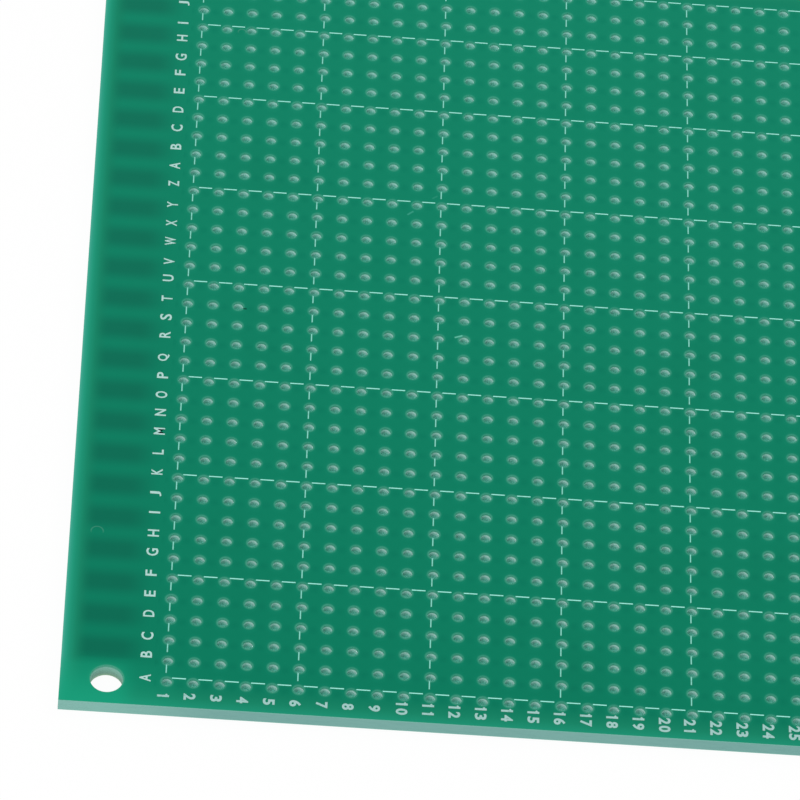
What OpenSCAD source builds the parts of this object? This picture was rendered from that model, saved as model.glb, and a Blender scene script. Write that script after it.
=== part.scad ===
// Bare prototype board: one drilled laminate, with white lines printed on top
// and tinned copper pads and edge fingers underneath.
// X runs along the rows of holes, away from the end that has the fingers.
// Y runs across the rows. The printed side faces +Z.
// The origin is under the middle of the board, at the level of the copper that it rests on.

/* [Board] */
// Length of the board, along the rows of holes
board_l = 90; // [60:1:150]
// Width of the board, across the rows of holes
board_w = 100; // [40:1:120]
// Thickness of the laminate with its green coats
board_t = 1.5; // [0.8:0.1:3.2]

/* [Grid of holes] */
// Distance between neighbouring holes, both ways
pitch = 2.54; // [2.4:0.01:5.08]
// Diameter of a grid hole
hole_d = 1; // [0.7:0.05:1.3]
// Distance from the finger end of the board to the first column of holes
first_column = 10.3; // [9.5:0.1:20]
// Least distance from the other end of the board to the last column of holes
end_margin = 10; // [9.5:0.1:20]
// Least distance from a side of the board to the outermost row of holes
side_margin = 2.6; // [1.5:0.1:15]

/* [Corner holes] */
// Diameter of a corner hole, which clears an M3 screw
corner_hole_d = 3.2; // [2.2:0.1:4.2]
// Distance from an end of the board to the middle of a corner hole
corner_hole_x = 4.5; // [3:0.1:5.5]
// Distance from a side of the board to the middle of a corner hole
corner_hole_y = 2.9; // [2.6:0.1:3.2]

/* [Copper underneath] */
// Thickness of the copper with its tin
copper_t = 0.07; // [0.03:0.01:0.2]
// Outer diameter of the ring of copper around a grid hole
pad_d = 1.9; // [1.5:0.05:2.2]
// Distance between neighbouring fingers
finger_pitch = 4.064; // [3.5:0.001:6]
// Width of a finger
finger_w = 2.4; // [1:0.1:3]
// Length of a finger
finger_l = 6.4; // [2:0.1:7]
// Distance from the end of the board to the fingers
finger_gap = 0.6; // [0.2:0.1:1]
// Least distance from a side of the board to the outermost finger
finger_margin = 6; // [5.5:0.1:15]

/* [Printed lines] */
// Thickness of the white ink
ink_t = 0.02; // [0.01:0.01:0.1]
// Number of holes from one line to the next
line_every = 5; // [2:1:10]
// Length of a dash, which lies between two holes
dash_l = 1.34; // [0.6:0.02:1.5]
// Width of a dash
dash_w = 0.12; // [0.1:0.01:0.4]
// How far the print sits off the holes towards +X
print_x = -0.12; // [-0.2:0.01:0.2]
// How far the print sits off the holes towards +Y
print_y = 0.46; // [-0.5:0.01:0.5]

/* [Hidden] */

// any circle drawn with this many sides is round, not a polygon
round_fn = 32;

// heights of the laminate's two faces; the copper lies under the lower one
laminate_z = copper_t;
print_z = laminate_z + board_t;

// the grid starts at the finger end and is centred across the board
columns = 1 + floor((board_l - first_column - end_margin) / pitch);
rows = 1 + floor((board_w - 2 * side_margin) / pitch);
first_x = first_column - board_l / 2;
first_y = -(rows - 1) * pitch / 2;

fingers = 1 + floor((board_w - 2 * finger_margin - finger_w) / finger_pitch);
finger_x = finger_gap + finger_l / 2 - board_l / 2;

// lines run along every fifth row and column; the last row has one too,
// with a short step of three rows to the line before it
short_step = 3;
line_columns = [0:line_every:columns - 1];
line_rows = concat(
    [for (j = [0:line_every:rows - 1 - line_every]) if (j < rows - 1 - short_step) j],
    [rows - 1 - short_step, rows - 1]
);

function hole_x(i) = first_x + i * pitch;
function hole_y(j) = first_y + j * pitch;

// Copies its children to the middle of every grid hole
module at_grid_holes() {
    for (i = [0:columns - 1], j = [0:rows - 1]) translate([hole_x(i), hole_y(j)]) children();
}

module grid_holes() {
    at_grid_holes() circle(d = hole_d, $fn = round_fn);
}

module corner_holes() {
    for (sx = [-1, 1], sy = [-1, 1])
        translate([sx * (board_l / 2 - corner_hole_x), sy * (board_w / 2 - corner_hole_y)])
            circle(d = corner_hole_d, $fn = round_fn);
}

// The board itself: one sheet with square-cut edges, drilled right through
module laminate() {
    color("seagreen")
        translate([0, 0, laminate_z])
            linear_extrude(board_t)
                difference() {
                    square([board_l, board_w], center = true);
                    grid_holes();
                    corner_holes();
                }
}

// A separate ring of tinned copper around the lower end of every grid hole
module solder_pads() {
    color("silver")
        linear_extrude(copper_t)
            at_grid_holes()
                difference() {
                    circle(d = pad_d, $fn = round_fn);
                    circle(d = hole_d, $fn = round_fn);
                }
}

// A row of contacts under one end of the board, centred across it
module edge_fingers() {
    color("silver")
        linear_extrude(copper_t)
            for (k = [0:fingers - 1])
                translate([finger_x, (k - (fingers - 1) / 2) * finger_pitch])
                    square([finger_l, finger_w], center = true);
}

// Lays a print of the dashes given as children, which stops at the rim of each hole
module printed() {
    color("white")
        translate([0, 0, print_z])
            linear_extrude(ink_t)
                difference() {
                    translate([print_x, print_y]) children();
                    grid_holes();
                }
}

// Dashed lines along the rows
module row_lines() {
    printed()
        for (i = [0:columns - 2], j = line_rows)
            translate([hole_x(i) + pitch / 2, hole_y(j)])
                square([dash_l, dash_w], center = true);
}

// Dashed lines along the columns
module column_lines() {
    printed()
        for (i = line_columns, j = [0:rows - 2])
            translate([hole_x(i), hole_y(j) + pitch / 2])
                square([dash_w, dash_l], center = true);
}

laminate();
solder_pads();
edge_fingers();
row_lines();
column_lines();
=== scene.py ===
"""A bare prototype board: a drilled green laminate, white guide lines on top, tinned copper underneath."""

import logging
import math
from dataclasses import dataclass, field
from enum import Enum

import bmesh
import bpy
from mathutils import Matrix, Vector


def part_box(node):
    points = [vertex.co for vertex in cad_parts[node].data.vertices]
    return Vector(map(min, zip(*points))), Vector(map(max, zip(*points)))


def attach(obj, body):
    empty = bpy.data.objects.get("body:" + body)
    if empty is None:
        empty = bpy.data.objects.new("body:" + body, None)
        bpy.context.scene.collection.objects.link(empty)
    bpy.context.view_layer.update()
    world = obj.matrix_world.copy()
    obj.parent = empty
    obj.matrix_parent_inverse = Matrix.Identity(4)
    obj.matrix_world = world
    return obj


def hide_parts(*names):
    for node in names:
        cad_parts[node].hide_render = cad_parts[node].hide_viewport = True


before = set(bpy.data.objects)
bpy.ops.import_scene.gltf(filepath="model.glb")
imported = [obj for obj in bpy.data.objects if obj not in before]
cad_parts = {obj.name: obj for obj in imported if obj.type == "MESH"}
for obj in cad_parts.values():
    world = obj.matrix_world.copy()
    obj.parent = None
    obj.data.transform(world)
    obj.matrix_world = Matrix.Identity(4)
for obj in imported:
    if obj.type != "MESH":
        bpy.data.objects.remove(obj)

log = logging.getLogger("prototype_board")

MM = 0.001
Socket = bpy.types.NodeSocket
Value = float | Socket
Tint = tuple[float, float, float]
# Where a smooth step is 0, and where it is 1.
Fade = tuple[float, float]
# Smooth steps that add up: the height and the fade of each.
Steps = tuple[tuple[float, Fade], ...]
# What a number is multiplied by, and what is then added to it.
Line = tuple[float, float]
# The stops of a colour ramp: the place and the colour of each.
Stops = tuple[tuple[float, Tint], ...]


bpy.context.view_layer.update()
EIGHTH_TURN = Matrix.Rotation(math.pi / 4, 3, "Z")


def linear(red: int, green: int, blue: int) -> Tint:
    """Turns a display colour into the linear one that a shader takes.

    Args:
        red: Red, from 0 to 255.
        green: Green, from 0 to 255.
        blue: Blue, from 0 to 255.

    Returns:
        The linear red, green and blue.
    """
    def one(level: int) -> float:
        """Returns one linear channel, by the display curve: straight near black and a power above."""
        share = level / 255
        return share / 12.92 if share <= 0.04045 else ((share + 0.055) / 1.055) ** 2.4

    return one(red), one(green), one(blue)


class Side(Enum):
    """The end of the board that a sign's top points to, as the sign's turn."""

    FINGER_END = math.pi / 2
    FAR_END = -math.pi / 2


@dataclass(frozen=True)
class Waves:
    """A smooth noise: its waves in a metre, its octaves, and how strong each octave is against the last."""

    scale: float
    detail: float = 2.0
    roughness: float = 0.5


class Wiring:
    """Makes the nodes of a material or of the world, and joins them."""

    MIX_INPUTS = (0, 6, 7)
    MIX_OUTPUT = 2

    def __init__(self, owner: bpy.types.Material | bpy.types.World) -> None:
        """Starts without nodes.

        Args:
            owner: What the nodes belong to.
        """
        owner.use_nodes = True
        self.owner = owner
        self.tree = owner.node_tree
        self.tree.nodes.clear()

    def node(self, kind: str, *inputs: Value | Tint | None, **settings: object) -> bpy.types.Node:
        """Makes a node.

        Args:
            kind: The node's type, without its ShaderNode prefix.
            inputs: What goes into its first inputs, in order; None leaves one as it is.
            settings: The node's own options.

        Returns:
            The node.
        """
        made = self.tree.nodes.new("ShaderNode" + kind)
        for name, setting in settings.items():
            setattr(made, name, setting)
        for place, value in enumerate(inputs):
            self.put(value, made.inputs[place])
        return made

    def put(self, value: Value | Tint | None, into: Socket) -> None:
        """Sets an input, or joins a node's output to it.

        Args:
            value: A number, a colour, an output, or None for nothing.
            into: The input.
        """
        if value is None:
            return
        if isinstance(value, bpy.types.NodeSocket):
            self.tree.links.new(value, into)
        elif isinstance(value, tuple):
            into.default_value = (*value, 1.0) if into.type == "RGBA" else value
        else:
            into.default_value = value

    def math(self, operation: str, a: Value, b: Value | None = None, c: Value | None = None) -> Socket:
        """Works out one number from up to three others, and returns the output."""
        return self.node("Math", a, b, c, operation=operation).outputs[0]

    def times(self, first: Value, *factors: Value) -> Socket:
        """Multiplies numbers.

        Args:
            first: The first number.
            factors: The others.

        Returns:
            Their product.
        """
        for factor in factors:
            first = self.math("MULTIPLY", first, factor)
        return first

    def away(self, value: Value, middle: Value) -> Socket:
        """Returns how far one number is from another."""
        return self.math("ABSOLUTE", self.math("SUBTRACT", value, middle))

    def length(self, x: Value, y: Value) -> Socket:
        """Returns the length of a flat arrow from its two parts."""
        arrow = self.node("CombineXYZ", x, y).outputs[0]
        return self.node("VectorMath", arrow, operation="LENGTH").outputs["Value"]

    def distance(self, x: Value, y: Value, point: tuple[float, float] | Vector) -> Socket:
        """Returns the distance from a place on the board to a point."""
        return self.length(self.math("SUBTRACT", x, point[0]), self.math("SUBTRACT", y, point[1]))

    def step(self, value: Value, start: float, end: float) -> Socket:
        """Rises smoothly from 0 where value is start to 1 where it is end.

        Args:
            value: The number that is read.
            start: Where the output is 0.
            end: Where the output is 1. It may be below start.

        Returns:
            The output, from 0 to 1.
        """
        if end < start:
            return self.math("SUBTRACT", 1.0, self.step(value, end, start))
        made = self.node("MapRange", value, start, end, 0.0, 1.0, interpolation_type="SMOOTHSTEP")
        return made.outputs[0]

    def steps(self, value: Value, parts: Steps) -> Socket:
        """Adds up smooth steps.

        Args:
            value: The number that is read.
            parts: Each step's height, and where it starts and ends.

        Returns:
            The sum.
        """
        total = 0.0
        for height, fade in parts:
            total = self.math("MULTIPLY_ADD", self.step(value, *fade), height, total)
        return total

    def blend(self, amount: Value, under: Tint | Socket, over: Tint | Socket, how: str = "MIX") -> Socket:
        """Lays one colour over another.

        Args:
            amount: How much of the upper colour shows, from 0 to 1.
            under: The lower colour.
            over: The upper colour.
            how: The way the two are mixed.

        Returns:
            The blended colour.
        """
        made = self.node("Mix", data_type="RGBA", blend_type=how)
        for place, value in zip(self.MIX_INPUTS, (amount, under, over)):
            self.put(value, made.inputs[place])
        return made.outputs[self.MIX_OUTPUT]

    def shade(self, amount: Value, colour: Tint | Socket, factor: Tint | Socket) -> Socket:
        """Returns a colour multiplied by another, as far as the amount says."""
        return self.blend(amount, colour, factor, "MULTIPLY")

    def noise(self, place: Socket, waves: Waves) -> Socket:
        """Reads a smooth noise.

        Args:
            place: Where it is read.
            waves: Its scale and strength.

        Returns:
            The noise, about 0.5.
        """
        made = self.node("TexNoise")
        self.put(place, made.inputs["Vector"])
        made.inputs["Scale"].default_value = waves.scale
        made.inputs["Detail"].default_value = waves.detail
        made.inputs["Roughness"].default_value = waves.roughness
        return made.outputs[0]

    def ramp(self, value: Socket, stops: Stops) -> Socket:
        """Reads a colour off a ramp.

        Args:
            value: Where on the ramp, from 0 to 1.
            stops: Each stop's place and its colour.

        Returns:
            The colour.
        """
        made = self.node("ValToRGB", value)
        bar = made.color_ramp.elements
        while len(bar) < len(stops):
            bar.new(0.5)
        for element, (place, tint) in zip(bar, stops):
            element.position = place
            element.color = (*tint, 1.0)
        return made.outputs[0]

    def relief(self, height: Socket, strength: float, distance: float) -> Socket:
        """Turns a height into small bumps.

        Args:
            height: The height, from 0 to 1.
            strength: How strongly it shows.
            distance: How high 1 is, in metres.

        Returns:
            The bumpy surface's normal.
        """
        made = self.node("Bump")
        for name, value in (("Strength", strength), ("Distance", distance), ("Height", height)):
            self.put(value, made.inputs[name])
        return made.outputs[0]

    def surface(self, **inputs: Value) -> bpy.types.Material:
        """Makes the material's surface.

        Args:
            inputs: The shader's inputs, each named with _ in place of a space.

        Returns:
            The material.
        """
        shader = self.node("BsdfPrincipled")
        for name, value in inputs.items():
            self.put(value, shader.inputs[name.replace("_", " ")])
        return self.finish(shader.outputs[0])

    def finish(self, shader: Socket) -> bpy.types.Material:
        """Joins a shader to the material's output, and returns the material."""
        self.node("OutputMaterial", shader)
        return self.owner


def repeat(form: bmesh.types.BMesh, count: int, step: Vector) -> None:
    """Repeats everything in a shape along a line, by doubling what is there.

    Args:
        form: The shape.
        count: How many there are at the end.
        step: From each to the next.
    """
    unit = len(form.verts)
    made = 1
    while made < count:
        more = min(made, count - made)
        form.verts.ensure_lookup_table()
        geom = form.verts[: more * unit]
        chosen = set(geom)
        geom += [edge for edge in form.edges if chosen.issuperset(edge.verts)]
        geom += [face for face in form.faces if chosen.issuperset(face.verts)]
        copied = bmesh.ops.duplicate(form, geom=geom)["geom"]
        moved = [v for v in copied if isinstance(v, bmesh.types.BMVert)]
        bmesh.ops.translate(form, verts=moved, vec=step * made)
        form.verts.index_update()
        made += more


@dataclass
class Grid:
    """The grid of holes, in metres."""

    pitch: float = 2.54 * MM
    hole_r: float = 0.5 * MM
    pad_r: float = 0.95 * MM
    columns: int = field(init=False)
    rows: int = field(init=False)
    first: Vector = field(init=False)

    def __post_init__(self) -> None:
        """Takes the numbers of columns and rows, and the first hole's place, from the pads."""
        low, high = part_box("solder_pads")
        self.columns = 1 + round((high.x - low.x - 2 * self.pad_r) / self.pitch)
        self.rows = 1 + round((high.y - low.y - 2 * self.pad_r) / self.pitch)
        self.first = Vector((low.x + self.pad_r, low.y + self.pad_r, 0))

    def at(self, column: float, row: float, height: float = 0.0) -> Vector:
        """Returns the place of a column and row, which may lie between holes."""
        return self.first + Vector((column * self.pitch, row * self.pitch, height))

    def fill(self, form: bmesh.types.BMesh) -> None:
        """Repeats what stands at the first hole at every other one."""
        repeat(form, self.columns, Vector((self.pitch, 0, 0)))
        repeat(form, self.rows, Vector((0, self.pitch, 0)))


@dataclass
class Sheet:
    """The outer sizes of the laminate, in metres."""

    corner_hole_r: float = 1.6 * MM
    corner_inset: tuple[float, float] = (4.5 * MM, 2.9 * MM)
    low: Vector = field(init=False)
    high: Vector = field(init=False)

    def __post_init__(self) -> None:
        """Takes the outer sizes from the CAD solid."""
        self.low, self.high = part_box("laminate")

    def corner_holes(self) -> list[Vector]:
        """Finds the corner holes.

        Returns:
            The middle of each, level with the upper face.
        """
        across = (self.low.x + self.corner_inset[0], self.high.x - self.corner_inset[0])
        along = (self.low.y + self.corner_inset[1], self.high.y - self.corner_inset[1])
        return [Vector((x, y, self.high.z)) for x in across for y in along]


@dataclass(frozen=True)
class Point:
    """Where a point of the board lies, as nodes: in metres, in columns, and from the nearest grid hole."""

    place: Socket
    x: Socket
    y: Socket
    z: Socket
    column: Socket
    off: tuple[Socket, Socket]
    out: Socket
    in_grid: Socket
    chance: Socket


@dataclass(frozen=True)
class Patch:
    """A soft patch by every grid hole: its middle, stretch and fade in pitches, and what it multiplies by."""

    centre: tuple[float, float]
    stretch: tuple[float, float]
    fade: Fade
    factor: Tint


@dataclass(frozen=True)
class Scratch:
    """A fine mark on the coat: its place in the grid, its length, its turn in degrees and its looks."""

    column: float
    row: float
    length: float
    turn: float
    strength: float
    colour: Tint


@dataclass(frozen=True)
class GreenCoat:
    """The satin green coat on both faces, with the paler laminate that shows on cut edges and in holes."""

    grid: Grid
    sheet: Sheet
    # The coat's colour at the first row and at the last; the step from one to the other is painted light.
    near: Tint = linear(5, 120, 91)
    far: Tint = linear(14, 131, 101)
    mottle: Waves = Waves(90, 3)
    mottle_fade: Fade = (0.5, 0.75)
    mottle_factor: Tint = (0.94, 0.96, 0.95)

    skin: Waves = Waves(2600, 3)
    grain: Waves = Waves(14000, 2)
    grain_share: float = 0.4
    relief: tuple[float, float] = (0.12, 0.02 * MM)
    roughness: Line = (0.16, 0.34)
    cut_roughness: float = 0.4
    specular: float = 0.04
    lower_face: Fade = (-0.1, -0.3)
    flat_face: Fade = (0.5, 0.7)

    finger_pitch: float = 4.064 * MM
    finger_shift: float = 0.56 * MM
    finger_side: Fade = (2.1 * MM, 0.3 * MM)
    finger_start: Fade = (-0.6 * MM, 1.6 * MM)
    finger_end: Fade = (8.8 * MM, 5.5 * MM)
    last_finger: Fade = (44.8 * MM, 44.3 * MM)
    finger_factor: Tint = (0.98, 0.74, 0.77)

    # Painted light: a glow in the coat along the cut edges and round the corner holes.
    rim_width: float = 2.54 * MM
    rim_fade: Fade = (1.0, 0.35)
    side_rim: Line = (0.55, 0.7 * MM)
    hole_rim: Line = (2.0, 1.2 * MM)
    rim_painted_glow_stops: Stops = (
        (0.00, linear(78, 172, 150)),
        (0.10, linear(46, 157, 131)),
        (0.20, linear(33, 150, 120)),
        (0.30, linear(26, 141, 111)),
        (0.50, linear(21, 131, 100)),
        (0.72, linear(18, 125, 95)),
        (1.00, linear(15, 124, 92)),
    )
    lifted_rim: Tint = linear(108, 168, 150)
    lifted_shift: float = -0.03 * MM
    lifted_fade: Fade = (0.16 * MM, -0.02 * MM)
    lifted_share: float = 0.7

    bare_corner: Tint = linear(21, 156, 120)
    bare_side: Steps = ((0.37, (5.7 * MM, 4.3 * MM)), (0.48, (5.4 * MM, 0.4 * MM)))
    bare_columns: Steps = ((0.65, (-1.0, -2.0)), (0.35, (1.5, -1.2)))

    # Painted shade: the pads underneath, shown as a darker patch beside every hole.
    pad_painted_shadow: Patch = Patch((0.46, -0.1), (1.0, 1.0), (0.3, 0.0), (0.62, 0.93, 0.94))
    # Painted light: a soft glow round every hole.
    glow: Patch = Patch((-0.02, -0.02), (1.0, 0.8), (0.42, 0.18), (1.5, 1.05, 1.08))
    halo: Tint = linear(62, 149, 124)
    halo_fade: Fade = (0.29, 0.19)
    halo_chance: Line = (0.4, 0.75)
    # Painted light: the halos and the hole walls grow lighter towards the last rows.
    far_painted_light_rows: Fade = (-30 * MM, 40 * MM)
    far_painted_light_factor: Tint = (0.96, 1.07, 1.06)

    arcs: tuple[tuple[float, float, float], ...] = ((-3.0, 7.1, 0.6 * MM), (1.6, 33.9, 0.4 * MM))
    arc_side: Fade = (0.09 * MM, 0.0)
    arc_ends: Fade = (-0.3 * MM, 0.2 * MM)
    arc_share: float = 0.2
    scratches: tuple[Scratch, ...] = (
        Scratch(10.78, 18.17, 0.95 * MM, 23, 0.6, linear(120, 215, 190)),
        Scratch(8.73, 24.56, 0.9 * MM, 41, 0.35, linear(90, 190, 170)),
        Scratch(9.7, 25.49, 0.75 * MM, 36, 0.15, linear(90, 190, 170)),
        Scratch(2.27, 18.9, 0.45 * MM, 0, 0.9, linear(2, 55, 45)),
    )
    scratch_end: float = 0.1 * MM
    scratch_side: Fade = (0.14 * MM, 0.03 * MM)

    bare: Tint = linear(150, 190, 160)
    pad_opening: Fade = (0.425, 0.405)
    finger_opening: Fade = (7.7 * MM, 7.6 * MM)

    edge_bright: Tint = linear(133, 184, 173)
    edge_dull: Tint = linear(120, 168, 161)
    coat_edge: Tint = linear(128, 186, 172)
    coat_skin: Fade = (0.12 * MM, 0.03 * MM)
    edge_away: Fade = (3 * MM, 16 * MM)
    edge_shares: tuple[float, float] = (0.2, 0.85)
    patches: Waves = Waves(55, 2)
    patch_fade: Fade = (0.35, 0.65)
    layers: Waves = Waves(5200, 3, 0.6)
    layer_stretch: tuple[float, float, float] = (0.12, 0.12, 1.0)
    layer_fade: Fade = (0.45, 0.7)
    layer_factor: Tint = (0.93, 0.95, 0.95)
    edge_depth: float = 0.2 * MM

    # The grid hole's wall colour with painted light, by depth.
    wall_tone_and_painted_light_stops: Stops = (
        (0.05, linear(212, 250, 243)),
        (0.32, linear(158, 198, 191)),
        (0.70, linear(116, 212, 196)),
    )
    # The corner hole's wall, darker downwards by painted shade, with a painted shadow at its foot.
    corner_wall_tone_and_painted_shade_stops: Stops = (
        (0.00, linear(138, 192, 178)),
        (0.84, linear(130, 168, 152)),
        (1.00, linear(88, 118, 104)),
    )
    # Painted shadow in the core of each grid hole.
    shadow_depth: float = 0.4
    shadow_depth_fade: Fade = (0.5, 0.1)
    shadow_column: float = -0.07
    shadow_column_fade: Fade = (0.17, 0.02)
    wall_shadow: Tint = (0.76, 0.87, 0.85)
    # Painted shade on the left side of each grid hole's wall.
    left_wall_painted_shade_fade: Fade = (-0.08, -0.19)
    left_wall_painted_shade: Tint = (0.66, 0.97, 0.9)
    lip_depth: Fade = (0.22, 0.1)
    lip_chance: Fade = (0.74, 0.86)
    lip_share: float = 0.8

    def build(self) -> bpy.types.Material:
        """Makes the material.

        Returns:
            The material.
        """
        w = Wiring(bpy.data.materials.new("green_coat_on_laminate"))
        at = self.locate(w)
        up = w.node("SeparateXYZ", w.node("TexCoord").outputs["Normal"]).outputs[2]
        tint = self.ground(w, at)
        for layer in (self.fingers, self.rims, self.bare_corners, self.halos, self.scuffs):
            tint = layer(w, at, tint)
        tint = w.blend(w.step(up, *self.lower_face), tint, self.underside(w, at, tint))
        flat = w.step(w.math("ABSOLUTE", up), *self.flat_face)
        tint = w.blend(flat, self.cut(w, at), tint)

        skin = w.noise(at.place, self.skin)
        height = w.math("ADD", skin, w.times(w.noise(at.place, self.grain), self.grain_share))
        rough = w.math("MULTIPLY_ADD", skin, *self.roughness)
        rough = w.math("MULTIPLY_ADD", w.math("SUBTRACT", 1.0, flat), self.cut_roughness, rough)
        return w.surface(
            Base_Color=tint,
            Roughness=rough,
            Normal=w.relief(height, *self.relief),
            Specular_IOR_Level=self.specular,
        )

    def locate(self, w: Wiring) -> Point:
        """Finds where a point lies on the board and in the grid of holes.

        Args:
            w: The material's wiring.

        Returns:
            Where it lies.
        """
        place = w.node("TexCoord").outputs["Object"]
        x, y, z = w.node("SeparateXYZ", place).outputs
        steps, wholes, offs, masks = [], [], [], []
        for value, first, count in zip((x, y), self.grid.first, (self.grid.columns, self.grid.rows)):
            steps.append(w.math("DIVIDE", w.math("SUBTRACT", value, first), self.grid.pitch))
            from_edge = w.math("ADD", steps[-1], 0.5)
            wholes.append(w.math("FLOOR", from_edge))
            offs.append(w.math("SUBTRACT", w.math("FRACT", from_edge), 0.5))
            masks.append(w.math("LESS_THAN", w.away(from_edge, count / 2), count / 2))
        cell = w.node("CombineXYZ", *wholes).outputs[0]
        chance = w.node("TexWhiteNoise", cell, noise_dimensions="2D").outputs["Value"]
        return Point(place, x, y, z, steps[0], (offs[0], offs[1]), w.length(*offs), w.times(*masks), chance)

    def ground(self, w: Wiring, at: Point) -> Socket:
        """Colours the coat, faintly mottled, with painted light that makes it a little lighter towards the
        last row.

        Args:
            w: The material's wiring.
            at: Where the point lies.

        Returns:
            The colour.
        """
        # Painted light: the coat grows lighter from the first row to the last.
        along = w.node("MapRange", at.y, self.sheet.low.y, self.sheet.high.y, 0.0, 1.0).outputs[0]
        mottle = w.step(w.noise(at.place, self.mottle), *self.mottle_fade)
        return w.shade(mottle, w.blend(along, self.near, self.far), self.mottle_factor)

    def fingers(self, w: Wiring, at: Point, tint: Socket) -> Socket:
        """Darkens the coat where the fingers underneath keep light out of the laminate.

        Args:
            w: The material's wiring.
            at: Where the point lies.
            tint: The colour so far.

        Returns:
            The colour.
        """
        turn = w.math("DIVIDE", w.math("ADD", at.y, self.finger_shift), self.finger_pitch)
        off = w.times(w.away(w.math("FRACT", turn), 0.5), self.finger_pitch)
        along = w.math("SUBTRACT", at.x, self.sheet.low.x)
        dark = w.times(
            w.step(off, *self.finger_side), w.step(w.math("ABSOLUTE", at.y), *self.last_finger),
            w.step(along, *self.finger_start), w.step(along, *self.finger_end),
        )
        return w.shade(dark, tint, self.finger_factor)

    def rims(self, w: Wiring, at: Point, tint: Socket) -> Socket:
        """Paints light into the coat along the cut edges and round the corner holes, as a glow of light that
        the cut laminate lets in.

        Args:
            w: The material's wiring.
            at: Where the point lies.
            tint: The colour so far.

        Returns:
            The colour.
        """
        across, along = w.math("ABSOLUTE", at.x), w.math("ABSOLUTE", at.y)
        corner, radius = self.sheet.corner_holes()[-1], self.sheet.corner_hole_r
        to_end = w.math("SUBTRACT", self.sheet.high.x, across)
        to_side = w.math("MULTIPLY_ADD", w.math("SUBTRACT", self.sheet.high.y, along), *self.side_rim)
        to_hole = w.math("SUBTRACT", w.distance(across, along, corner), radius)
        to_hole = w.math("MULTIPLY_ADD", to_hole, *self.hole_rim)
        near = w.math("MINIMUM", w.math("MINIMUM", to_end, to_side), to_hole)
        share = w.math("DIVIDE", near, self.rim_width)
        tint = w.blend(w.step(share, *self.rim_fade), tint, w.ramp(share, self.rim_painted_glow_stops))
        middle = (corner.x + self.lifted_shift, corner.y + self.lifted_shift)
        beside = w.math("SUBTRACT", w.distance(across, along, middle), radius)
        return w.blend(w.times(w.step(beside, *self.lifted_fade), self.lifted_share), tint, self.lifted_rim)

    def bare_corners(self, w: Wiring, at: Point, tint: Socket) -> Socket:
        """Lightens the two corners past the last fingers, where no copper holds light back.

        Args:
            w: The material's wiring.
            at: Where the point lies.
            tint: The colour so far.

        Returns:
            The colour.
        """
        to_side = w.math("SUBTRACT", self.sheet.high.y, w.math("ABSOLUTE", at.y))
        share = w.times(w.steps(to_side, self.bare_side), w.steps(at.column, self.bare_columns))
        return w.blend(share, tint, self.bare_corner)

    def halos(self, w: Wiring, at: Point, tint: Socket) -> Socket:
        """Lays a paler ring round every grid hole, where the drill has lifted the coat, with a soft painted
        glow round the hole and a painted shadow of the pads beside it.

        Args:
            w: The material's wiring.
            at: Where the point lies.
            tint: The colour so far.

        Returns:
            The colour.
        """
        for patch in (self.pad_painted_shadow, self.glow):
            parts = []
            for off, centre, stretch in zip(at.off, patch.centre, patch.stretch):
                parts.append(w.times(w.math("WRAP", w.math("SUBTRACT", off, centre), 0.5, -0.5), stretch))
            share = w.step(w.length(*parts), *patch.fade)
            tint = w.shade(w.times(at.in_grid, share), tint, patch.factor)
        strength = w.math("MULTIPLY_ADD", at.chance, *self.halo_chance)
        share = w.times(w.step(at.out, *self.halo_fade), strength, at.in_grid)
        return w.blend(share, tint, w.shade(w.step(at.y, *self.far_painted_light_rows), self.halo, self.far_painted_light_factor))

    def scuffs(self, w: Wiring, at: Point, tint: Socket) -> Socket:
        """Draws the faint arcs, the fine scratches and the speck of dirt that handling has left on the coat.

        Args:
            w: The material's wiring.
            at: Where the point lies.
            tint: The colour so far.

        Returns:
            The colour.
        """
        for column, row, radius in self.arcs:
            spot = self.grid.at(column, row)
            line = w.step(w.away(w.distance(at.x, at.y, spot), radius), *self.arc_side)
            half = w.step(w.math("SUBTRACT", at.y, spot.y), *self.arc_ends)
            tint = w.blend(w.times(line, half, self.arc_share), tint, self.coat_edge)
        for scratch in self.scratches:
            spot = self.grid.at(scratch.column, scratch.row)
            turn = (0.0, 0.0, math.radians(scratch.turn))
            slope = w.node("Mapping", at.place, (spot.x, spot.y, 0.0), turn, vector_type="TEXTURE")
            along, beside, _ = w.node("SeparateXYZ", slope.outputs[0]).outputs
            end = scratch.length / 2
            line = w.step(w.math("ABSOLUTE", along), end, end - self.scratch_end)
            side = w.step(w.math("ABSOLUTE", beside), *self.scratch_side)
            tint = w.blend(w.times(line, side, scratch.strength), tint, scratch.colour)
        return tint

    def underside(self, w: Wiring, at: Point, tint: Socket) -> Socket:
        """Opens the lower coat round the pads and all round the fingers.

        Args:
            w: The material's wiring.
            at: Where the point lies.
            tint: The colour so far.

        Returns:
            The colour.
        """
        round_pads = w.times(w.step(at.out, *self.pad_opening), at.in_grid)
        round_fingers = w.step(w.math("SUBTRACT", at.x, self.sheet.low.x), *self.finger_opening)
        return w.blend(w.math("MAXIMUM", round_pads, round_fingers), tint, self.bare)

    def cut(self, w: Wiring, at: Point) -> Socket:
        """Tells the cut edges from the walls of the holes.

        Args:
            w: The material's wiring.
            at: Where the point lies.

        Returns:
            The colour.
        """
        high = self.sheet.high
        inside = w.math("LESS_THAN", w.math("ABSOLUTE", at.x), high.x - self.edge_depth)
        within = w.math("LESS_THAN", w.math("ABSOLUTE", at.y), high.y - self.edge_depth)
        return w.blend(w.times(inside, within), self.edges(w, at), self.walls(w, at))

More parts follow.
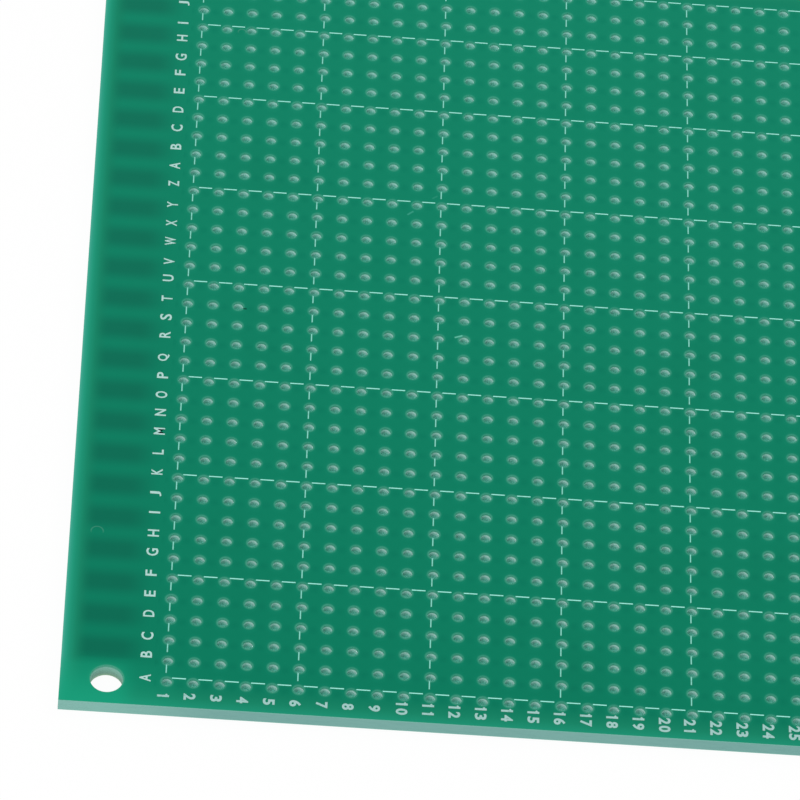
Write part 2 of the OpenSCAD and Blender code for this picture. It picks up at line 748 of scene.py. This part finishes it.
    def edges(self, w: Wiring, at: Point) -> Socket:
        """Colours the cut edges, whose glass layers show between two coats.

        Args:
            w: The material's wiring.
            at: Where the point lies.

        Returns:
            The colour.
        """
        low, high = self.sheet.low, self.sheet.high
        drawn = w.node("Mapping", at.place, None, None, self.layer_stretch).outputs[0]
        layers = w.step(w.noise(drawn, self.layers), *self.layer_fade)
        patches = w.step(w.noise(at.place, self.patches), *self.patch_fade)
        away = w.step(w.math("SUBTRACT", at.x, low.x), *self.edge_away)
        dull = w.math("MULTIPLY_ADD", patches, self.edge_shares[0], w.times(away, self.edge_shares[1]))
        tint = w.shade(layers, w.blend(dull, self.edge_bright, self.edge_dull), self.layer_factor)
        to_face = w.math("SUBTRACT", (high.z - low.z) / 2, w.away(at.z, (low.z + high.z) / 2))
        return w.blend(w.step(to_face, *self.coat_skin), tint, self.coat_edge)

    def walls(self, w: Wiring, at: Point) -> Socket:
        """Colours the paler walls of the grid holes and of the corner holes, with painted light and shade: a
        ramp of painted light down each grid hole's wall, a painted shadow in its core and on its left side,
        painted light towards the last rows, and painted shade down to the foot of the corner holes' walls.

        Args:
            w: The material's wiring.
            at: Where the point lies.

        Returns:
            The colour.
        """
        low, high = self.sheet.low, self.sheet.high
        depth = w.math("DIVIDE", w.math("SUBTRACT", high.z, at.z), high.z - low.z)
        sunk = w.step(w.away(depth, self.shadow_depth), *self.shadow_depth_fade)
        left = w.step(w.away(at.off[0], self.shadow_column), *self.shadow_column_fade)
        small = w.shade(w.times(sunk, left), w.ramp(depth, self.wall_tone_and_painted_light_stops), self.wall_shadow)
        small = w.shade(w.step(at.off[0], *self.left_wall_painted_shade_fade), small, self.left_wall_painted_shade)
        lip = w.times(w.step(depth, *self.lip_depth), w.step(at.chance, *self.lip_chance), self.lip_share)
        small = w.blend(lip, small, self.near)
        small = w.shade(w.step(at.y, *self.far_painted_light_rows), small, self.far_painted_light_factor)
        corner = self.sheet.corner_holes()[-1].x - 2 * self.sheet.corner_hole_r
        outer = w.math("GREATER_THAN", w.math("ABSOLUTE", at.x), corner)
        return w.blend(outer, small, w.ramp(depth, self.corner_wall_tone_and_painted_shade_stops))


@dataclass(frozen=True)
class WhiteInk:
    """The thin matt white print, through which the coat shows a little."""

    name: str
    body: Tint
    thin: Tint
    cover: Waves = Waves(3200, 4, 0.6)
    cover_fade: Fade = (0.52, 0.72)
    roughness: Line = (0.2, 0.5)
    grain: Waves = Waves(22000, 2)
    relief: tuple[float, float] = (0.3, 0.01 * MM)
    specular: float = 0.1

    def build(self) -> bpy.types.Material:
        """Makes the material.

        Returns:
            The material.
        """
        w = Wiring(bpy.data.materials.new(self.name))
        place = w.node("TexCoord").outputs["Object"]
        cover = w.noise(place, self.cover)
        return w.surface(
            Base_Color=w.blend(w.step(cover, *self.cover_fade), self.body, self.thin),
            Roughness=w.math("MULTIPLY_ADD", cover, *self.roughness),
            Normal=w.relief(w.noise(place, self.grain), *self.relief),
            Specular_IOR_Level=self.specular,
        )


LETTER_INK = WhiteInk("white_screen_print", linear(177, 214, 208), linear(144, 194, 184))
NUMBER_INK = WhiteInk("white_numbers", linear(160, 200, 195), linear(132, 184, 174))
ROW_INK = WhiteInk("white_row_lines", linear(158, 236, 222), linear(138, 214, 198))
COLUMN_INK = WhiteInk("white_column_lines", linear(134, 212, 196), linear(112, 190, 170))


@dataclass(frozen=True)
class DullTin:
    """The dull bright tin on the copper, levelled hot, so it is slightly uneven."""

    bright: Tint = (0.72, 0.73, 0.74)
    dull: Tint = (0.52, 0.53, 0.53)
    cloud: Waves = Waves(420, 4, 0.6)
    cloud_fade: Fade = (0.35, 0.7)
    grain: Waves = Waves(6000, 3)
    grain_share: float = 0.25
    swell: Waves = Waves(1500, 2)
    roughness: Line = (0.25, 0.22)
    relief: tuple[float, float] = (0.35, 0.03 * MM)

    def build(self) -> bpy.types.Material:
        """Makes the material.

        Returns:
            The material.
        """
        w = Wiring(bpy.data.materials.new("dull_tin"))
        place = w.node("TexCoord").outputs["Object"]
        grain = w.noise(place, self.grain)
        height = w.math("ADD", w.noise(place, self.swell), w.times(grain, self.grain_share))
        return w.surface(
            Base_Color=w.blend(w.step(w.noise(place, self.cloud), *self.cloud_fade), self.bright, self.dull),
            Roughness=w.math("MULTIPLY_ADD", grain, *self.roughness),
            Normal=w.relief(height, *self.relief),
            Metallic=1.0,
        )


def dress(piece: bpy.types.Object, finish: bpy.types.Material) -> None:
    """Gives a piece its one finish.

    Args:
        piece: The piece.
        finish: The material.
    """
    piece.data.materials.clear()
    piece.data.materials.append(finish)
    log.info("%s has %d faces, in %s", piece.name, len(piece.data.polygons), finish.name)


def add_object(name: str, form: bmesh.types.BMesh, finish: bpy.types.Material) -> bpy.types.Object:
    """Makes a dressed object of a shape, and lets go of the shape.

    Args:
        name: The object's name.
        form: Its shape, in its place.
        finish: Its material.

    Returns:
        The object.
    """
    mesh = bpy.data.meshes.new(name)
    form.to_mesh(mesh)
    form.free()
    made = bpy.data.objects.new(name, mesh)
    bpy.context.scene.collection.objects.link(made)
    dress(made, finish)
    return made


def add_piece(name: str, form: bmesh.types.BMesh, finish: bpy.types.Material) -> bpy.types.Object:
    """Makes a finished piece that rides on the board.

    Args:
        name: The piece's name.
        form: Its shape, in its place.
        finish: Its material.

    Returns:
        The piece.
    """
    piece = add_object(name, form, finish)
    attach(piece, "root")
    return piece


@dataclass
class DrilledBoard:
    """The laminate with its coats: one sheet, drilled right through."""

    grid: Grid
    sheet: Sheet
    sides: int = 20
    corner_sides: int = 48
    edge_cuts: int = 19
    weld: float = 0.01 * MM
    rim_reach: float = 0.6 * MM
    edge_depth: float = 0.1 * MM
    wall_slope: float = 0.5

    def build(self) -> bpy.types.Object:
        """Builds the board and dresses it.

        Returns:
            The piece.
        """
        form = self.cells()
        self.add_margin(form)
        self.give_thickness(form)
        piece = add_piece("drilled_board", form, GreenCoat(self.grid, self.sheet).build())
        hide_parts("laminate")
        return piece

    def cells(self) -> bmesh.types.BMesh:
        """Builds the upper face of the grid: one square cell with its hole, repeated.

        Returns:
            The shape.
        """
        form = bmesh.new()
        square = bmesh.ops.create_circle(form, segments=4, radius=self.grid.pitch * math.sqrt(0.5))["verts"]
        outline = square[0].link_edges[:] + square[2].link_edges[:]
        bmesh.ops.subdivide_edges(form, edges=outline, cuts=self.sides // 4 - 1)
        bmesh.ops.create_circle(form, segments=self.sides, radius=self.grid.hole_r)
        bmesh.ops.rotate(form, verts=form.verts[:], cent=(0, 0, 0), matrix=EIGHTH_TURN)
        bmesh.ops.bridge_loops(form, edges=form.edges[:])
        bmesh.ops.translate(form, verts=form.verts[:], vec=self.grid.at(0, 0, self.sheet.high.z))
        self.grid.fill(form)
        bmesh.ops.remove_doubles(form, verts=form.verts[:], dist=self.weld)
        return form

    def add_margin(self, form: bmesh.types.BMesh) -> None:
        """Fills the face from the grid out to the edges, round the corner holes.

        Args:
            form: The shape so far.
        """
        low, high = self.sheet.low, self.sheet.high
        inner = [e for e in form.edges if e.is_boundary and not self.is_hole_rim(e)]
        made = bmesh.ops.create_circle(form, segments=4, radius=math.sqrt(0.5))["verts"]
        bmesh.ops.rotate(form, verts=made, cent=(0, 0, 0), matrix=EIGHTH_TURN)
        bmesh.ops.scale(form, verts=made, vec=(high.x - low.x, high.y - low.y, 1))
        bmesh.ops.translate(form, verts=made, vec=((low.x + high.x) / 2, (low.y + high.y) / 2, high.z))
        outline = made[0].link_edges[:] + made[2].link_edges[:]
        bmesh.ops.subdivide_edges(form, edges=outline, cuts=self.edge_cuts)
        edges = [e for e in form.edges if e.is_wire]
        radius = self.sheet.corner_hole_r
        for middle in self.sheet.corner_holes():
            ring = bmesh.ops.create_circle(form, segments=self.corner_sides, radius=radius)["verts"]
            bmesh.ops.translate(form, verts=ring, vec=middle)
            edges += dict.fromkeys(e for v in ring for e in v.link_edges)
        bmesh.ops.triangle_fill(form, use_beauty=True, edges=[*inner, *edges])

    def is_hole_rim(self, edge: bmesh.types.BMEdge) -> bool:
        """Tells the rims of the grid holes from the outline of the grid.

        Args:
            edge: An edge.

        Returns:
            Whether it is part of a rim.
        """
        middle = (edge.verts[0].co + edge.verts[1].co) / 2 - self.grid.first
        nearest = Vector((round(middle.x / self.grid.pitch), round(middle.y / self.grid.pitch)))
        return (middle.xy - nearest * self.grid.pitch).length < self.rim_reach

    def give_thickness(self, form: bmesh.types.BMesh) -> None:
        """Draws the face down to the lower one and smooths the walls of the holes.

        Args:
            form: The shape so far.
        """
        drawn = bmesh.ops.extrude_face_region(form, geom=form.faces[:])["geom"]
        lower = [v for v in drawn if isinstance(v, bmesh.types.BMVert)]
        bmesh.ops.translate(form, verts=lower, vec=(0, 0, self.sheet.low.z - self.sheet.high.z))
        bmesh.ops.recalc_face_normals(form, faces=form.faces[:])
        for face in form.faces:
            beside = face.calc_center_median()
            past = max(abs(beside.x) - self.sheet.high.x, abs(beside.y) - self.sheet.high.y)
            face.smooth = abs(face.normal.z) < self.wall_slope and past <= -self.edge_depth


@dataclass
class SolderRings:
    """The tinned rings round the lower ends of the grid holes, each a little domed."""

    grid: Grid
    sides: int = 16
    taper: float = 0.02 * MM
    outer_shoulder: float = 0.16 * MM
    inner_shoulder: float = 0.1 * MM
    outer_drop: float = 0.6
    inner_drop: float = 0.4
    weld: float = 0.001 * MM
    top_slope: float = 0.2

    def build(self, finish: bpy.types.Material) -> bpy.types.Object:
        """Builds the rings.

        Args:
            finish: Their material.

        Returns:
            The piece.
        """
        low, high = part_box("solder_pads")
        thick = high.z - low.z
        profile = (
            (self.grid.pad_r, high.z),
            (self.grid.pad_r - self.taper, high.z - self.outer_drop * thick),
            (self.grid.pad_r - self.outer_shoulder, low.z),
            (self.grid.hole_r + self.inner_shoulder, low.z),
            (self.grid.hole_r, high.z - self.inner_drop * thick),
        )
        form = bmesh.new()
        verts = [form.verts.new((radius, 0, height)) for radius, height in profile]
        edges = [form.edges.new(pair) for pair in zip(verts, verts[1:])]
        edges.append(form.edges.new((verts[-1], verts[0])))
        bmesh.ops.spin(
            form, geom=[*verts, *edges], cent=(0, 0, 0), axis=(0, 0, 1),
            angle=2 * math.pi, steps=self.sides, use_merge=True,
        )
        bmesh.ops.remove_doubles(form, verts=form.verts[:], dist=self.weld)
        bmesh.ops.recalc_face_normals(form, faces=form.faces[:])
        for face in form.faces:
            face.smooth = face.normal.z < self.top_slope
        bmesh.ops.translate(form, verts=form.verts[:], vec=self.grid.first)
        self.grid.fill(form)
        piece = add_piece("solder_rings", form, finish)
        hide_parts("solder_pads")
        return piece


@dataclass
class Legend:
    """The printed row letters and column numbers."""

    grid: Grid
    face: float
    top: float
    letters: str = "ABCDEFGHIJKLMNOPQRSTUVWXYZABCDEFGHIJKL"
    round_letters: str = "CGOQS"
    letter_height: float = 1.11 * MM
    round_height: float = 1.19 * MM
    digit_height: float = 1.15 * MM
    letter_column: float = -0.835
    digit_column: float = -0.115
    shifted_columns: range = range(9, 20)
    shift: float = 0.04
    lone_drops: tuple[float, ...] = (-0.66,)
    teen_drops: tuple[float, ...] = (-0.35, -0.735)
    pair_drops: tuple[float, ...] = (-0.4, -0.77)
    ink_share: float = 0.9
    curve_steps: int = 3
    letter_stroke: float = 0.018
    digit_stroke: float = 0.033
    flag_size: tuple[float, float, float] = (0.12, 0.25, 0.9)
    flag_turn: float = -52.0
    flag_place: tuple[float, float] = (-0.14, -0.13)
    widths: tuple[tuple[str, float], ...] = (
        ("I", 0.23 * MM), ("1", 0.40 * MM), ("JL", 0.61 * MM), ("EFKTZ", 0.74 * MM), ("BPSXY", 0.79 * MM),
        ("DRV", 0.82 * MM), ("AHMNOU", 0.87 * MM), ("CGQ", 0.93 * MM), ("W", 1.08 * MM),
        ("023456789", 0.77 * MM),
    )
    rises: tuple[float, ...] = (
        0.12, 0.25, 0.13, 0.23, 0.20, 0.21, 0.24, 0.18, 0.21, 0.14, 0.25, 0.25, 0.30,
        0.26, 0.17, 0.17, 0.09, 0.28, 0.20, 0.17, 0.25, 0.13, 0.21, 0.18, 0.17, 0.31,
        0.28, 0.32, 0.34, 0.36, 0.39, 0.40, 0.27, 0.34, 0.19, 0.30, 0.30, 0.30,
    )
    shapes: dict[str, bpy.types.Mesh] = field(default_factory=dict)

    def build(self, letter_ink: bpy.types.Material, number_ink: bpy.types.Material) -> list[bpy.types.Object]:
        """Builds both rows of signs.

        Args:
            letter_ink: The letters' material.
            number_ink: The numbers' material.

        Returns:
            The pieces.
        """
        names = bmesh.new()
        for row, (letter, rise) in enumerate(zip(self.letters[: self.grid.rows], self.rises)):
            height = self.round_height if letter in self.round_letters else self.letter_height
            spot = self.grid.at(self.letter_column, row + rise)
            self.print_sign(names, letter, height, Side.FINGER_END, spot)
        numbers = bmesh.new()
        for column in range(self.grid.columns):
            text = str(column + 1)
            across = column + self.digit_column + (self.shift if column in self.shifted_columns else 0.0)
            for digit, drop in zip(text, self.drops(text)):
                spot = self.grid.at(across, drop)
                self.print_sign(numbers, digit, self.digit_height, Side.FAR_END, spot)
        return [
            add_piece("row_letters", names, letter_ink),
            add_piece("column_numbers", numbers, number_ink),
        ]

    def drops(self, text: str) -> tuple[float, ...]:
        """Tells how far the digits of a number stand below the first row.

        Args:
            text: The number.

        Returns:
            Each digit's distance, in pitches.
        """
        if len(text) == 1:
            return self.lone_drops
        return self.teen_drops if text[0] == "1" else self.pair_drops

    def print_sign(self, into: bmesh.types.BMesh, sign: str, height: float, side: Side, spot: Vector) -> None:
        """Prints one sign.

        Args:
            into: The shape that takes it.
            sign: The letter or digit.
            height: Its height in metres.
            side: Where its top points.
            spot: The middle of the sign.
        """
        if sign not in self.shapes:
            self.shapes[sign] = self.cut_sign(sign)
        mesh = self.shapes[sign].copy()
        xs, ys = ([v.co[k] for v in mesh.vertices] for k in (0, 1))
        width = next(wide for signs, wide in self.widths if sign in signs)
        stretch = (width / (max(xs) - min(xs)), height / (max(ys) - min(ys)))
        thick = (self.top - self.face) * self.ink_share
        mesh.transform(Matrix.Translation((-(max(xs) + min(xs)) / 2, -(max(ys) + min(ys)) / 2, 0)))
        mesh.transform(Matrix.Diagonal((*stretch, thick, 1)))
        mesh.transform(Matrix.Rotation(side.value, 4, "Z"))
        mesh.transform(Matrix.Translation((spot.x, spot.y, self.face + thick / 2)))
        into.from_mesh(mesh)
        bpy.data.meshes.remove(mesh)

    def cut_sign(self, sign: str) -> bpy.types.Mesh:
        """Cuts a sign from the built-in typeface, one unit thick.

        Args:
            sign: The letter or digit.

        Returns:
            Its mesh, upright.
        """
        curve = bpy.data.curves.new("sign_" + sign, "FONT")
        curve.body = sign
        curve.resolution_u = self.curve_steps
        curve.extrude = 0.5
        curve.offset = self.digit_stroke if sign.isdigit() else self.letter_stroke
        holder = bpy.data.objects.new("sign_" + sign, curve)
        bpy.context.scene.collection.objects.link(holder)
        bpy.context.view_layer.update()
        mesh = bpy.data.meshes.new_from_object(holder.evaluated_get(bpy.context.evaluated_depsgraph_get()))
        bpy.data.objects.remove(holder)
        bpy.data.curves.remove(curve)
        if sign == "1":
            self.add_flag(mesh)
        return mesh

    def add_flag(self, mesh: bpy.types.Mesh) -> None:
        """Adds the short slanting flag at the head of a 1, a hair thinner so that no two faces coincide.

        Args:
            mesh: The plain upright stroke.
        """
        form = bmesh.new()
        form.from_mesh(mesh)
        head = max((v.co for v in form.verts), key=lambda co: (co.y, co.x)).copy()
        across, down = self.flag_place
        turn = Matrix.Rotation(math.radians(self.flag_turn), 3, "Z")
        flag = bmesh.ops.create_cube(form, size=1.0)["verts"]
        bmesh.ops.scale(form, verts=flag, vec=self.flag_size)
        bmesh.ops.rotate(form, verts=flag, cent=(0, 0, 0), matrix=turn)
        bmesh.ops.translate(form, verts=flag, vec=(head.x + across, head.y + down, 0))
        form.to_mesh(mesh)
        form.free()


@dataclass(frozen=True)
class Viewpoint:
    """Where the camera stands and what it aims at, from the corner by the first hole."""

    aim: tuple[float, float] = (31.957 * MM, 40.317 * MM)
    distance: float = 681.6 * MM
    azimuth: float = -3.762
    elevation: float = 49.654
    roll: float = 6.574
    lens: float = 307.39
    sensor: float = 36.0
    clip: tuple[float, float] = (0.01, 20.0)

    def build(self, sheet: Sheet) -> bpy.types.Object:
        """Sets up the camera.

        Args:
            sheet: The laminate's outer sizes.

        Returns:
            The camera.
        """
        data = bpy.data.cameras.new("camera")
        data.lens, data.sensor_width = self.lens, self.sensor
        data.clip_start, data.clip_end = self.clip
        camera = bpy.data.objects.new("camera", data)
        bpy.context.scene.collection.objects.link(camera)
        turn = (
            Matrix.Rotation(math.radians(self.azimuth), 4, "Z")
            @ Matrix.Rotation(math.radians(90 - self.elevation), 4, "X")
            @ Matrix.Rotation(math.radians(self.roll), 4, "Z")
        )
        spot = Vector((sheet.low.x + self.aim[0], sheet.low.y + self.aim[1], sheet.high.z))
        camera.matrix_world = Matrix.Translation(spot) @ turn @ Matrix.Translation((0, 0, self.distance))
        bpy.context.scene.camera = camera
        return camera


@dataclass(frozen=True)
class Lamp:
    """A square lamp that points at the board: its place and side in metres, and its power in watts."""

    name: str
    place: tuple[float, float, float]
    size: float
    power: float

    def build(self) -> bpy.types.Object:
        """Hangs the lamp.

        Returns:
            The lamp.
        """
        data = bpy.data.lights.new(self.name, "AREA")
        data.size, data.energy = self.size, self.power
        lamp = bpy.data.objects.new(self.name, data)
        lamp.location = self.place
        lamp.rotation_mode = "QUATERNION"
        lamp.rotation_quaternion = (-Vector(self.place)).to_track_quat("-Z", "Y")
        bpy.context.scene.collection.objects.link(lamp)
        return lamp


@dataclass(frozen=True)
class Studio:
    """The white table and the soft light."""

    table: float = 3.0
    table_white: Tint = (0.95, 0.95, 0.95)
    table_glow: float = 0.85
    shadow_depth: float = 0.06
    daylight: float = 0.62
    lamps: tuple[Lamp, ...] = (
        Lamp("key_light", (-0.55, -0.75, 1.1), 0.9, 8.5),
        Lamp("fill_light", (0.9, 0.5, 1.2), 1.2, 4.0),
    )

    def build(self) -> None:
        """Sets up the table, the world and the lamps."""
        form = bmesh.new()
        bmesh.ops.create_grid(form, x_segments=1, y_segments=1, size=self.table / 2)
        table = add_object("table", form, self.white())
        self.light_world()
        for lamp in self.lamps:
            lamp.build()

    def by_ray(self, w: Wiring, lighting: float, shown: float) -> Socket:
        """Gives one number to what lights the board, and another to what the camera sees.

        Args:
            w: The wiring.
            lighting: The number for light.
            shown: The number for what is seen, directly or in metal or glass.

        Returns:
            The number.
        """
        path = w.node("LightPath").outputs
        straight = w.math("MAXIMUM", path["Is Camera Ray"], path["Is Glossy Ray"])
        seen = w.math("MAXIMUM", straight, path["Is Transmission Ray"])
        return w.node("MapRange", seen, 0.0, 1.0, lighting, shown).outputs[0]

    def white(self) -> bpy.types.Material:
        """Makes the table's white, which keeps a faint shadow.

        Returns:
            The material.
        """
        w = Wiring(bpy.data.materials.new("white_table"))
        matt = w.node("BsdfDiffuse", self.table_white).outputs[0]
        glow = w.node("Emission", None, 1.0).outputs[0]
        share = self.by_ray(w, self.table_glow, 1 - self.shadow_depth)
        return w.finish(w.node("MixShader", share, matt, glow).outputs[0])

    def light_world(self) -> None:
        """Lights the scene from all round, and shows white behind it."""
        world = bpy.data.worlds.new("white_room")
        bpy.context.scene.world = world
        w = Wiring(world)
        sky = w.node("Background", (1.0, 1.0, 1.0), self.by_ray(w, self.daylight, 1.0))
        w.node("OutputWorld", sky.outputs[0])


def main() -> None:
    """Builds the board, the camera and the studio."""
    logging.basicConfig(level=logging.INFO, format="%(message)s")
    bpy.context.scene.view_settings.view_transform = "Standard"
    grid, sheet = Grid(), Sheet()
    Viewpoint().build(sheet)
    log.info("%d columns and %d rows of holes", grid.columns, grid.rows)
    tin = DullTin().build()
    DrilledBoard(grid, sheet).build()
    SolderRings(grid).build(tin)
    print_low, print_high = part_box("row_lines")
    Legend(grid, print_low.z, print_high.z).build(LETTER_INK.build(), NUMBER_INK.build())
    dress(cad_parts["row_lines"], ROW_INK.build())
    dress(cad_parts["column_lines"], COLUMN_INK.build())
    dress(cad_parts["edge_fingers"], tin)
    Studio().build()


if __name__ == "__main__":
    main()
